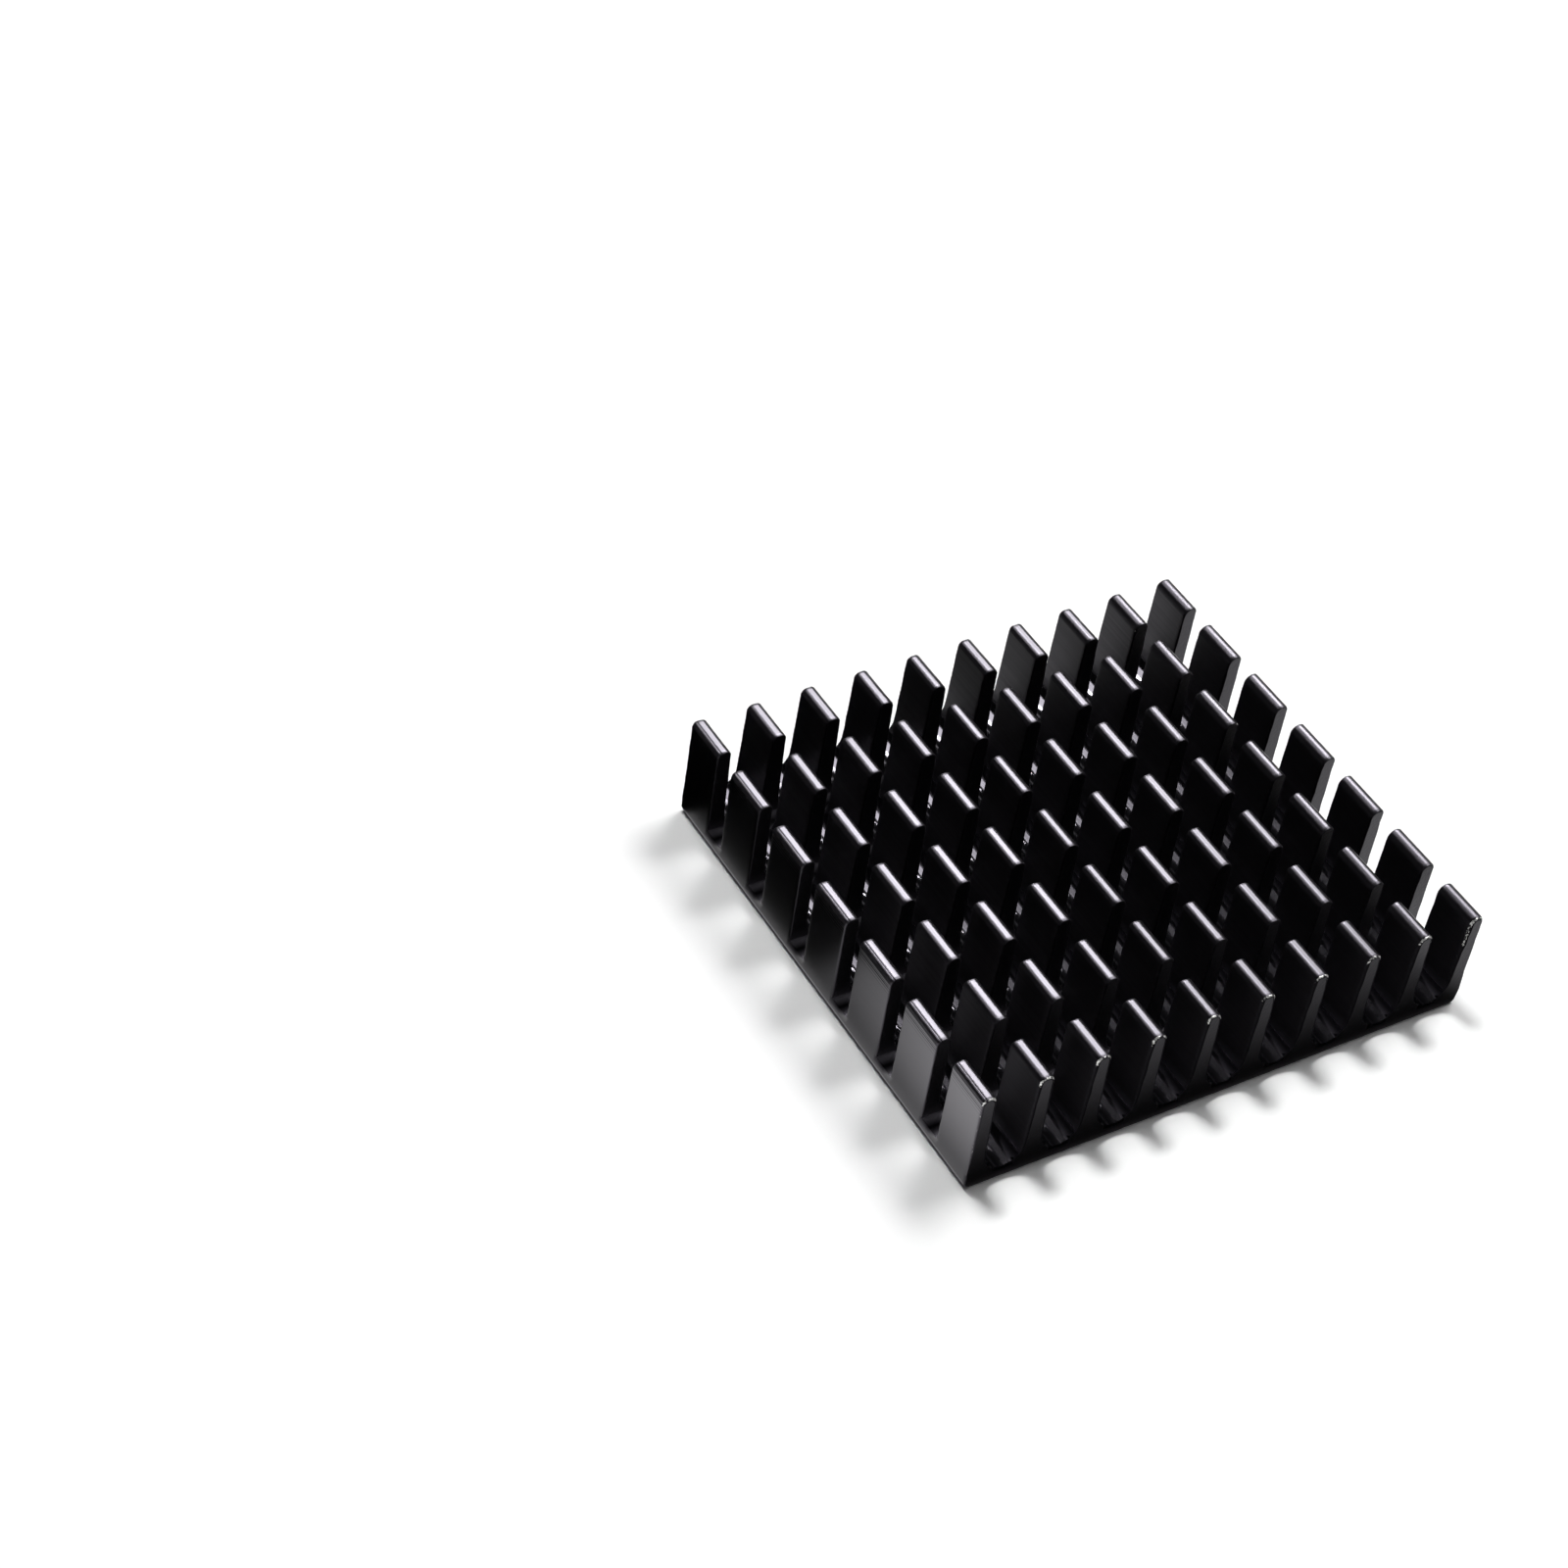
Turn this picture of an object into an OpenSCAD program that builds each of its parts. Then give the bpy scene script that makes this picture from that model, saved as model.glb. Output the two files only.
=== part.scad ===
// Cross-cut fin heat sink in black anodised aluminium, one piece.
// A comb-shaped profile is extruded along Y, cut to length, and then sawn across the fins into
// rows of short posts. X runs across the fins, Y along them, Z up. Units are millimetres.
// The origin is at the middle of the flat bottom face.

/* [Base] */
// Width of the base, across the fins
base_w = 40; // [34:0.5:60]
// Length of the base, along the fins
base_l = 37.5; // [30:0.5:80]
// Thickness of the base under the lowest line of each channel
base_t = 1; // [0.8:0.05:3]
// Radius of the two long bottom edges that the die leaves
edge_r = 0.5; // [0.2:0.05:0.8]

/* [Fins] */
// Overall height, from the bottom face to the fin tips
height = 8.4; // [6:0.1:14]
// Number of fins across the width
fin_n = 10; // [6:1:11]
// Thickness of a fin at its tip, before the corners are rounded
tip_t = 1.1; // [0.8:0.05:1.4]
// Radius of the two corners of each fin tip
tip_r = 0.4; // [0.2:0.05:0.5]
// Lean of each flank, in degrees, so that a fin thickens towards its root
draft = 1.5; // [0.5:0.1:2.5]

/* [Cross cuts] */
// Number of saw slots across the fins
slot_n = 6; // [2:1:9]
// Width of each saw slot
slot_w = 1.85; // [1:0.05:2.5]
// Length of the posts in the two end rows, which the cut to length leaves a little short
end_post_l = 3.6; // [2:0.1:6]
// How far above the lowest line of the channels the saw stops
slot_rise = 0.2; // [0.1:0.05:0.4]

/* [Hidden] */
$fn = 48;
// Colour of the anodised skin
anodised_black = "#17171a";
// How far a cutting tool runs past the stock
overrun = 1;
// How far a round reaches past the straight flank it runs out of, so that the two cross and
// don't only touch
lap = 0.005;

// Distance from fin to fin: the outer fins stand flush with the sides of the base
fin_pitch = (base_w - tip_t) / (fin_n - 1);
// Depth of a channel, from the fin tips to its lowest line
channel_d = height - base_t;
// Half of a channel's mouth, level with the fin tips
mouth_half = (fin_pitch - tip_t) / 2;
// Full-round channel root: the radius that fills the space between the feet of the two flanks
root_r = (mouth_half + lap - channel_d * tan(draft)) / (1 - tan(draft));
root_z = base_t + root_r;
// The tip corners can't take more than half of the fin
tip_round = min(tip_r, 0.45 * tip_t);
// Posts that the saw leaves between the end rows: all of one length
post_l = (base_l - 2 * end_post_l - slot_n * slot_w) / (slot_n - 1);
slot_pitch = post_l + slot_w;
slot_z = base_t + slot_rise;

// Place of a fin's middle at its tip, counted from the -X side
function fin_x(k) = -base_w / 2 + tip_t / 2 + k * fin_pitch;

// Place of a saw slot's middle, counted from the -Y end
function slot_y(k) = -base_l / 2 + end_post_l + slot_w / 2 + k * slot_pitch;

// Half of the space between two fins at the height z
function channel_half(z) = root_r - lap + (z - root_z) * tan(draft);

// What a round of radius r takes off a corner whose top is level and whose side leans inwards by
// lean degrees going up. The round's centre is at the origin and the corner is up and to the right.
module corner_waste(r, lean) {
    reach = 2 * r;
    difference() {
        polygon([[0, 0], [reach * cos(lean), reach * sin(lean)], [reach, reach], [0, reach]]);
        circle(r);
    }
}

// Waste at one top corner of a fin, with the fin's middle at x = 0
module tip_corner_waste(lean) {
    centre_x = tip_t / 2 + tip_round * tan(lean) - tip_round / cos(lean) + lap;
    translate([centre_x, height - tip_round]) corner_waste(tip_round, lean);
}

// Waste at the right-hand bottom edge of the base
module edge_waste() {
    translate([base_w / 2 - edge_r, edge_r]) mirror([0, 1]) corner_waste(edge_r, 0);
}

// One channel: a round root that runs on into two leaning flanks, open at the top
module channel() {
    foot_x = channel_half(root_z);
    top_z = height + overrun;
    top_x = channel_half(top_z);
    translate([0, root_z]) circle(root_r);
    polygon([[foot_x, root_z], [top_x, top_z], [-top_x, top_z], [-foot_x, root_z]]);
}

// The comb that the die presses out, drawn with X to the right and Z up
module comb_profile() {
    difference() {
        translate([-base_w / 2, 0]) square([base_w, height]);
        for (k = [0 : fin_n - 2]) {
            translate([fin_x(k) + fin_pitch / 2, 0]) channel();
        }
        for (k = [0 : fin_n - 1]) {
            translate([fin_x(k), 0]) tip_corner_waste(k == fin_n - 1 ? 0 : draft);
            translate([fin_x(k), 0]) mirror([1, 0]) tip_corner_waste(k == 0 ? 0 : draft);
        }
        edge_waste();
        mirror([1, 0]) edge_waste();
    }
}

// Room that one pass of the saw clears, from side to side
module saw_slot() {
    translate([-base_w / 2 - overrun, -slot_w / 2, slot_z])
        cube([base_w + 2 * overrun, slot_w, height - slot_z + overrun]);
}

// The whole heat sink: the extruded comb, cut to length and sawn across
module heat_sink() {
    color(anodised_black)
        difference() {
            rotate([90, 0, 0]) linear_extrude(height = base_l, center = true) comb_profile();
            for (k = [0 : slot_n - 1]) {
                translate([0, slot_y(k), 0]) saw_slot();
            }
        }
}

heat_sink();
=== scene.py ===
"""Black anodised heat sink, cross-cut into rows of fin posts, on a white studio floor.

Lengths in the classes are millimetres. Meshes go into Blender in metres, in the part's own frame:
X across the fins, Y along them, Z up, with the origin at the middle of the flat bottom face.
"""
import logging
import math
from dataclasses import dataclass, field
from enum import Enum

import bpy
import numpy as np
from mathutils import Matrix


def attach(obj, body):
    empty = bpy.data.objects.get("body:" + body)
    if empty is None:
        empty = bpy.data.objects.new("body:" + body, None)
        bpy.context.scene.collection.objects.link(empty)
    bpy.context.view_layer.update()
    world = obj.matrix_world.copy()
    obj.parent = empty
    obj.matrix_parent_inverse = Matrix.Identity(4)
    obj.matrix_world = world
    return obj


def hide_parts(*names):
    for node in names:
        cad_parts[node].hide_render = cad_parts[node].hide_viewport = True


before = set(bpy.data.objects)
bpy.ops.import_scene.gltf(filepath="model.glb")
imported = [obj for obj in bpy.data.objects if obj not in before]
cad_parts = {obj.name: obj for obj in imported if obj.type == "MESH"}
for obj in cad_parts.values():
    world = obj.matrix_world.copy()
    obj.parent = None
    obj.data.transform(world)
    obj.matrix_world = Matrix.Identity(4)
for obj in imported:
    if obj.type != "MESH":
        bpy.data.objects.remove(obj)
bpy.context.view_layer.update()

Tree = bpy.types.NodeTree
Socket = bpy.types.NodeSocket

MM = 0.001
# Two places closer than this, in millimetres, are the same one
SAME_PLACE = 1e-6
# What each point of a mesh is marked with, and the marks of a sawn face
MARKS = ("sawn", "worn", "dull")
SAWN_FACE = (1.0, 0.0, 0.0)
log = logging.getLogger("heat_sink")


class Hand(Enum):
    """Which side of a fin is meant, as the sign of its X direction."""

    LEFT = -1
    RIGHT = 1


class End(Enum):
    """Which end of a row of posts is meant, as the Y direction that leads into the metal."""

    NEAR = 1
    FAR = -1


def linear(hex_colour: str) -> tuple[float, float, float, float]:
    """Turns an sRGB hex colour into linear red, green, blue and an alpha of 1.

    Args:
        hex_colour: the colour, such as "#17171a".

    Returns:
        Four numbers, as a colour socket takes them.
    """
    # The sRGB curve: a straight foot, and a power above it
    parts = np.array([int(hex_colour[i : i + 2], 16) for i in (1, 3, 5)]) / 255.0
    low, high = parts / 12.92, ((parts + 0.055) / 1.055) ** 2.4
    return (*np.where(parts <= 0.04045, low, high).tolist(), 1.0)


def add_node(
    tree: Tree, kind: str, inputs: dict[str | int, object] | None = None, **settings: object
) -> bpy.types.Node:
    """Adds one shader node with its settings, and fills or links its inputs.

    Args:
        tree: the node tree that takes it.
        kind: the node's type name.
        inputs: what each input gets, by its name or number: a value, or an output to link.
        settings: the node's own properties.

    Returns:
        The node.
    """
    node = tree.nodes.new(kind)
    for name, value in settings.items():
        setattr(node, name, value)
    for key, value in (inputs or {}).items():
        if isinstance(value, Socket):
            tree.links.new(value, node.inputs[key])
        else:
            node.inputs[key].default_value = value
    return node


def blank_tree(owner: bpy.types.Material | bpy.types.World) -> Tree:
    """Turns on the nodes of a material or world and clears them.

    Args:
        owner: the material or world.

    Returns:
        Its empty node tree.
    """
    owner.use_nodes = True
    owner.node_tree.nodes.clear()
    return owner.node_tree


def smoothstep(low: float, high: float, value: np.ndarray) -> np.ndarray:
    """Goes from 0 at low to 1 at high, which may be the smaller, along 3t squared less 2t cubed."""
    t = np.clip((value - low) / (high - low), 0.0, 1.0)
    return t * t * (3.0 - 2.0 * t)


@dataclass
class Skin:
    """Gathers grids of points and welds them into one closed mesh."""

    # Side of the cells that points are welded in, and the cells' shift, as a share of that side,
    # so that no round size falls on a border between two of them
    weld_mm: float = 1e-4
    weld_shift: float = 0.237
    count: int = 0
    points: list[np.ndarray] = field(default_factory=list)
    marks: list[np.ndarray] = field(default_factory=list)
    quads: list[np.ndarray] = field(default_factory=list)

    def add_grid(self, xyz: np.ndarray, marks: np.ndarray | None = None, flip: bool = False) -> None:
        """Adds a grid of points and the quads between them.

        Args:
            xyz: points, rows by columns by 3, in millimetres.
            marks: rows by columns by 3: how far each point is sawn, worn and dull.
            flip: turns the quads over. Unflipped, a face looks along (row step) x (column step).
        """
        rows, columns = xyz.shape[:2]
        index = np.arange(rows * columns).reshape(rows, columns) + self.count
        corners = [index[:-1, :-1], index[1:, :-1], index[1:, 1:], index[:-1, 1:]]
        quads = np.stack(corners[::-1] if flip else corners, axis=-1).reshape(-1, 4)
        self.points.append(xyz.reshape(-1, 3))
        self.marks.append(np.zeros((rows * columns, 3)) if marks is None else marks.reshape(-1, 3))
        self.quads.append(quads)
        self.count += rows * columns

    def to_mesh(self, name: str) -> bpy.types.Mesh:
        """Welds points that share a place and writes the mesh.

        Points in one weld cell become one vertex. A quad with one corner lost that way becomes a
        triangle, and one with more is dropped.

        Args:
            name: the mesh's name.

        Returns:
            The mesh, smooth shaded, with its marks as point attributes.
        """
        xyz, marks = np.concatenate(self.points), np.concatenate(self.marks)
        key = np.floor(xyz / self.weld_mm + self.weld_shift).astype(np.int64)
        _, first, inverse = np.unique(key, axis=0, return_index=True, return_inverse=True)
        faces = inverse.reshape(-1)[np.concatenate(self.quads)]
        same = faces == np.roll(faces, -1, axis=1)
        folded = (faces[:, 0] == faces[:, 2]) | (faces[:, 1] == faces[:, 3])
        lost = same.sum(axis=1)
        whole = faces[(lost == 0) & ~folded]
        bent = (lost == 1) & ~folded
        thirds = faces[bent][~same[bent]].reshape(-1, 3)
        mesh = bpy.data.meshes.new(name)
        mesh.vertices.add(len(first))
        mesh.vertices.foreach_set("co", (xyz[first] * MM).ravel())
        loops = np.concatenate([whole.ravel(), thirds.ravel()])
        mesh.loops.add(len(loops))
        mesh.loops.foreach_set("vertex_index", loops)
        starts = [4 * np.arange(len(whole)), 4 * len(whole) + 3 * np.arange(len(thirds))]
        mesh.polygons.add(len(whole) + len(thirds))
        mesh.polygons.foreach_set("loop_start", np.concatenate(starts))
        mesh.update(calc_edges=True)
        for column, label in enumerate(MARKS):
            layer = mesh.attributes.new(label, "FLOAT", "POINT")
            layer.data.foreach_set("value", np.ascontiguousarray(marks[first, column]))
        mesh.shade_smooth()
        return mesh

    def to_object(self, name: str, material: bpy.types.Material) -> bpy.types.Object:
        """Puts the welded mesh into the scene.

        Args:
            name: the object's and the mesh's name.
            material: what the mesh is made of.

        Returns:
            The object, at the origin.
        """
        mesh = self.to_mesh(name)
        mesh.materials.append(material)
        body = bpy.data.objects.new(name, mesh)
        bpy.context.scene.collection.objects.link(body)
        return body


@dataclass(frozen=True)
class BlackAnodisedAluminium:
    """Extruded aluminium with a dyed and sealed oxide skin, sawn before it was anodised.

    The skin is a clear oxide over black dye, so to the eye it is a dark dielectric and not a
    metal: black face on, with a colourless satin gloss that strengthens at a low angle. The die
    leaves fine lines along Y on the pressed faces and the saw leaves shallow arcs on the cut ones.
    Where an edge is knocked, bare aluminium shows as bright specks.
    """

    name: str = "black_anodised_aluminium"
    black: str = "#020203"
    dusty_black: str = "#060607"
    bare_metal: str = "#c9c9c6"
    gloss_tint: str = "#f6efff"
    # Roughness of the pressed faces, from the polished channel roots to the dragged flanks
    polished_roughness: float = 0.14
    dragged_roughness: float = 0.48
    sawn_roughness: float = 0.34
    # The floors of the slots, which the rim of the blade tore
    torn_roughness: float = 1.0
    bare_roughness: float = 0.45
    # Real die lines lie about 0.05 mm apart. That is under a pixel of the render, so they are
    # drawn at 0.16 mm.
    die_line_mm: float = 0.16
    die_line_run_mm: float = 14.0
    # How much rougher the dullest faces are on a die line than between two of them
    die_line_swing: float = 0.2
    # Saw arcs: their spacing, the blade's radius, and its axle's place across the fins. A real tooth
    # moves on by a few hundredths of a millimetre, so the arcs are drawn at 0.22 mm to show.
    saw_step_mm: float = 0.22
    saw_radius_mm: float = 35.0
    saw_axle_x_mm: float = 12.0
    # Depth of the lines and arcs, and how strongly they turn the shine
    line_depth_mm: float = 0.008
    line_bump: float = 0.35
    # The etched grain is a few hundredths of a millimetre, drawn at 0.2 mm to show.
    grain_mm: float = 0.2
    grain_depth_mm: float = 0.022
    grain_bump: float = 0.6
    # Share of the sawn faces' grain that the pressed faces have
    pressed_grain: float = 0.01
    dye_patch_mm: float = 2.5
    speck_mm: float = 0.14
    # Wear times the speck noise, where bare metal starts to show and where it shows fully
    bare_from: float = 0.42
    bare_full: float = 0.52

    def make(self) -> bpy.types.Material:
        """Builds the node tree.

        Returns:
            The material.
        """
        material = bpy.data.materials.new(self.name)
        tree = blank_tree(material)
        place = add_node(tree, "ShaderNodeTexCoord").outputs["Object"]
        sawn, worn, dull = (
            add_node(tree, "ShaderNodeAttribute", attribute_name=mark).outputs["Fac"] for mark in MARKS
        )
        # Die lines: a noise that changes quickly across the fins and slowly along them.
        across, along = 1.0 / (self.die_line_mm * MM), 1.0 / (self.die_line_run_mm * MM)
        die_place = add_node(
            tree, "ShaderNodeVectorMath", {0: place, 1: (across, along, across)}, operation="MULTIPLY"
        ).outputs["Vector"]
        die = add_node(
            tree, "ShaderNodeTexNoise", {"Vector": die_place, "Scale": 1.0, "Detail": 2.0}
        ).outputs["Fac"]
        bare = self.bare(tree, place, worn)
        # The slot floors are made a black metal with next to no gloss, so they render black.
        torn = add_node(tree, "ShaderNodeMath", {0: sawn, 1: dull}, operation="MULTIPLY").outputs["Value"]
        metal = add_node(tree, "ShaderNodeMath", {0: bare, 1: torn}, operation="MAXIMUM").outputs["Value"]
        shader = add_node(
            tree,
            "ShaderNodeBsdfPrincipled",
            {
                "Base Color": self.colour(tree, place, bare),
                "Metallic": metal,
                "Roughness": self.roughness(tree, sawn, dull, die, bare),
                "Specular Tint": linear(self.gloss_tint),
                "Normal": self.relief(tree, place, sawn, dull, die),
            },
        )
        add_node(tree, "ShaderNodeOutputMaterial", {"Surface": shader.outputs["BSDF"]})
        return material

    def bare(self, tree: Tree, place: Socket, worn: Socket) -> Socket:
        """Where bare metal shows: the wear times a speck noise, past a soft threshold.

        Args:
            tree: takes the nodes.
            place: object coordinates.
            worn: the wear.

        Returns:
            How bare the metal is, from 0 to 1.
        """
        specks = add_node(
            tree,
            "ShaderNodeTexNoise",
            {"Vector": place, "Scale": 1.0 / (self.speck_mm * MM), "Detail": 2.0},
        ).outputs["Fac"]
        knocks = add_node(tree, "ShaderNodeMath", {0: worn, 1: specks}, operation="MULTIPLY").outputs["Value"]
        return add_node(
            tree,
            "ShaderNodeMapRange",
            {"Value": knocks, "From Min": self.bare_from, "From Max": self.bare_full},
            interpolation_type="SMOOTHSTEP",
        ).outputs["Result"]

    def colour(self, tree: Tree, place: Socket, bare: Socket) -> Socket:
        """Colour: black dye that took a little unevenly, and bare metal where edges wore.

        Args:
            tree: takes the nodes.
            place: object coordinates.
            bare: how bare the metal is.

        Returns:
            The colour.
        """
        dye = add_node(
            tree,
            "ShaderNodeTexNoise",
            {"Vector": place, "Scale": 1.0 / (self.dye_patch_mm * MM), "Detail": 3.0},
        ).outputs["Fac"]
        skin = add_node(
            tree,
            "ShaderNodeMix",
            {"Factor": dye, 6: linear(self.black), 7: linear(self.dusty_black)},
            data_type="RGBA",
        ).outputs[2]
        return add_node(
            tree,
            "ShaderNodeMix",
            {"Factor": bare, 6: skin, 7: linear(self.bare_metal)},
            data_type="RGBA",
        ).outputs[2]

    def roughness(self, tree: Tree, sawn: Socket, dull: Socket, die: Socket, bare: Socket) -> Socket:
        """Roughness: pressed, sawn and bare faces each have their own, mixed by the marks.

        Pressed faces go from polished to dragged, and the dragged ones get a swing on each die
        line. Sawn faces go from cut to torn.

        Args:
            tree: takes the nodes.
            sawn: how far the face is sawn.
            dull: how dull it is.
            die: the noise of the die lines.
            bare: how bare the metal is.

        Returns:
            The roughness.
        """
        pressed = add_node(
            tree, "ShaderNodeMix", {"Factor": dull, 2: self.polished_roughness, 3: self.dragged_roughness}
        ).outputs[0]
        drag = add_node(tree, "ShaderNodeMath", {0: die, 1: dull}, operation="MULTIPLY").outputs["Value"]
        lined = add_node(
            tree, "ShaderNodeMath", {0: drag, 1: self.die_line_swing, 2: pressed}, operation="MULTIPLY_ADD"
        ).outputs["Value"]
        cut = add_node(
            tree, "ShaderNodeMix", {"Factor": dull, 2: self.sawn_roughness, 3: self.torn_roughness}
        ).outputs[0]
        gloss = add_node(tree, "ShaderNodeMix", {"Factor": sawn, 2: lined, 3: cut}).outputs[0]
        return add_node(
            tree, "ShaderNodeMix", {"Factor": bare, 2: gloss, 3: self.bare_roughness}
        ).outputs[0]

    def relief(self, tree: Tree, place: Socket, sawn: Socket, dull: Socket, die: Socket) -> Socket:
        """Fine relief: die lines on pressed faces, saw arcs on sawn ones, and grain.

        The arcs are a noise along the distance from the blade's axle, which is above the block.
        Lines and arcs grow with how far the face is sawn and how dull it is.

        Args:
            tree: takes the nodes.
            place: object coordinates.
            sawn: how far the face is sawn.
            dull: how dull it is.
            die: the noise of the die lines.

        Returns:
            The turned normal.
        """
        flat = add_node(
            tree, "ShaderNodeVectorMath", {0: place, 1: (1.0, 0.0, 1.0)}, operation="MULTIPLY"
        ).outputs["Vector"]
        axle = (self.saw_axle_x_mm * MM, 0.0, self.saw_radius_mm * MM)
        reach = add_node(
            tree, "ShaderNodeVectorMath", {0: flat, 1: axle}, operation="DISTANCE"
        ).outputs["Value"]
        steps = add_node(
            tree, "ShaderNodeMath", {0: reach, 1: 1.0 / (self.saw_step_mm * MM)}, operation="MULTIPLY"
        ).outputs["Value"]
        saw = add_node(
            tree, "ShaderNodeTexNoise", {"W": steps, "Scale": 1.0, "Detail": 2.0}, noise_dimensions="1D"
        ).outputs["Fac"]
        lines = add_node(tree, "ShaderNodeMix", {"Factor": sawn, 2: die, 3: saw}).outputs[0]
        coarse = add_node(tree, "ShaderNodeMath", {0: sawn, 1: dull}, operation="ADD").outputs["Value"]
        ridges = add_node(
            tree, "ShaderNodeMath", {0: lines, 1: coarse}, operation="MULTIPLY"
        ).outputs["Value"]
        grain = add_node(
            tree,
            "ShaderNodeTexNoise",
            {"Vector": place, "Scale": 1.0 / (self.grain_mm * MM), "Detail": 1.0},
        ).outputs["Fac"]
        pitted = add_node(
            tree, "ShaderNodeMath", {0: sawn, 1: self.pressed_grain}, operation="ADD"
        ).outputs["Value"]
        pits = add_node(tree, "ShaderNodeMath", {0: grain, 1: pitted}, operation="MULTIPLY").outputs["Value"]
        lined = add_node(
            tree,
            "ShaderNodeBump",
            {"Height": ridges, "Strength": self.line_bump, "Distance": self.line_depth_mm * MM},
        ).outputs["Normal"]
        return add_node(
            tree,
            "ShaderNodeBump",
            {
                "Height": pits,
                "Normal": lined,
                "Strength": self.grain_bump,
                "Distance": self.grain_depth_mm * MM,
            },
        ).outputs["Normal"]


@dataclass(frozen=True)
class WhitePaper:
    """Matt white studio paper: evenly white, with no gloss."""

    name: str = "white_studio_paper"
    white: str = "#fbfbfb"

    def make(self) -> bpy.types.Material:
        """Builds the node tree.

        Returns:
            The material.
        """
        material = bpy.data.materials.new(self.name)
        tree = blank_tree(material)
        shader = add_node(tree, "ShaderNodeBsdfDiffuse", {"Color": linear(self.white), "Roughness": 0.0})
        add_node(tree, "ShaderNodeOutputMaterial", {"Surface": shader.outputs["BSDF"]})
        return material


@dataclass
class Outline:
    """A line in the plane of the comb.

    It has its points, the directions that look out of the metal there, and how dull the die left it.
    """

    xz: np.ndarray
    out: np.ndarray
    dull: np.ndarray

    def joined(self, *others: "Outline") -> "Outline":
        """This line and others, end to end."""
        lines = (self, *others)
        return Outline(*(np.concatenate([getattr(o, name) for o in lines]) for name in ("xz", "out", "dull")))

    def reversed(self) -> "Outline":
        """This line, walked the other way."""
        return Outline(self.xz[::-1], self.out[::-1], self.dull[::-1])

    def part(self, start: int, stop: int) -> "Outline":
        """The points from start up to stop."""
        return Outline(self.xz[start:stop], self.out[start:stop], self.dull[start:stop])


@dataclass(frozen=True)
class EdgeWear:
    """How tumbling, etching and handling left the sawn edges."""

    # Radius of a plain edge, the most that a knocked one gets, and the share that the waves add
    plain_r: float = 0.1
    most_r: float = 0.3
    r_swing: float = 0.25
    # How much larger the radius is at the near end, and how much more again at its tips
    near_gain: float = 0.5
    tip_gain: float = 0.5
    # How far below the tips that gain starts and is full, and the same for the tips' bare metal
    tip_gain_band: tuple[float, float] = (0.8, 0.2)
    tip_bare_band: tuple[float, float] = (0.8, 0.4)
    # How far in from the outer faces the near end's rubbing starts and is full
    rubbed_band: tuple[float, float] = (0.25, 0.1)
    # Wear of a plain edge, how much the waves vary it, and what rubbing adds
    plain_wear: float = 0.28
    wear_swing: float = 0.1
    rubbed_wear: float = 0.5
    # Wear of the near tips, and how much the waves vary it
    tip_wear: float = 1.12
    tip_wear_swing: float = 0.15
    # Depth of a knock that wears its edge to specks
    speck_depth: float = 0.07
    # How far above a slot's floor an edge has its full radius
    slot_fade: float = 0.5
    # At the two ends: levels where the base's edge fades out, and where the posts' edges fade in
    base_fade: tuple[float, float] = (0.55, 0.95)
    post_fade: tuple[float, float] = (1.3, 3.2)
    # Rates of the three waves, in radians a millimetre along X, Y and Z, and the third's share
    waves: tuple[tuple[float, float, float], ...] = ((3.1, 1.9, 0.0), (0.0, 0.7, 2.3), (5.7, 1.0, -4.1))
    slant_share: float = 0.6
    # Scattered knocks: how many, how far down the posts they go, and how far they lie from a fin's
    # middle, as a share of its thickness
    scatter_n: int = 90
    scatter_drop: float = 3.2
    scatter_side: float = 0.45
    # Their least depth and its range, and their least spread and its range
    scatter_depth: tuple[float, float] = (0.02, 0.05)
    scatter_spread: tuple[float, float] = (0.07, 0.1)
    seed: int = 7
    # Knocks that show at the near end: fin, X from its middle, level, depth and spread
    seen: tuple[tuple[float, float, float, float, float], ...] = (
        (9, -0.61, 6.1, 0.14, 0.16),
        (9, -0.59, 6.8, 0.1, 0.3),
        (9, -0.57, 7.4, 0.12, 0.3),
        (9, -0.5, 8.0, 0.14, 0.25),
        (0, 0.45, 8.2, 0.07, 0.16),
        (0, -0.45, 8.1, 0.05, 0.12),
        (9, 0.45, 8.1, 0.06, 0.14),
    )

    def unevenness(self, x: np.ndarray, y: float, z: np.ndarray) -> np.ndarray:
        """Slow waves of the place: the first sine times the second, plus a share of the third."""
        across, up, slant = (np.sin(a * x + b * y + c * z) for a, b, c in self.waves)
        return across * up + self.slant_share * slant


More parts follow.
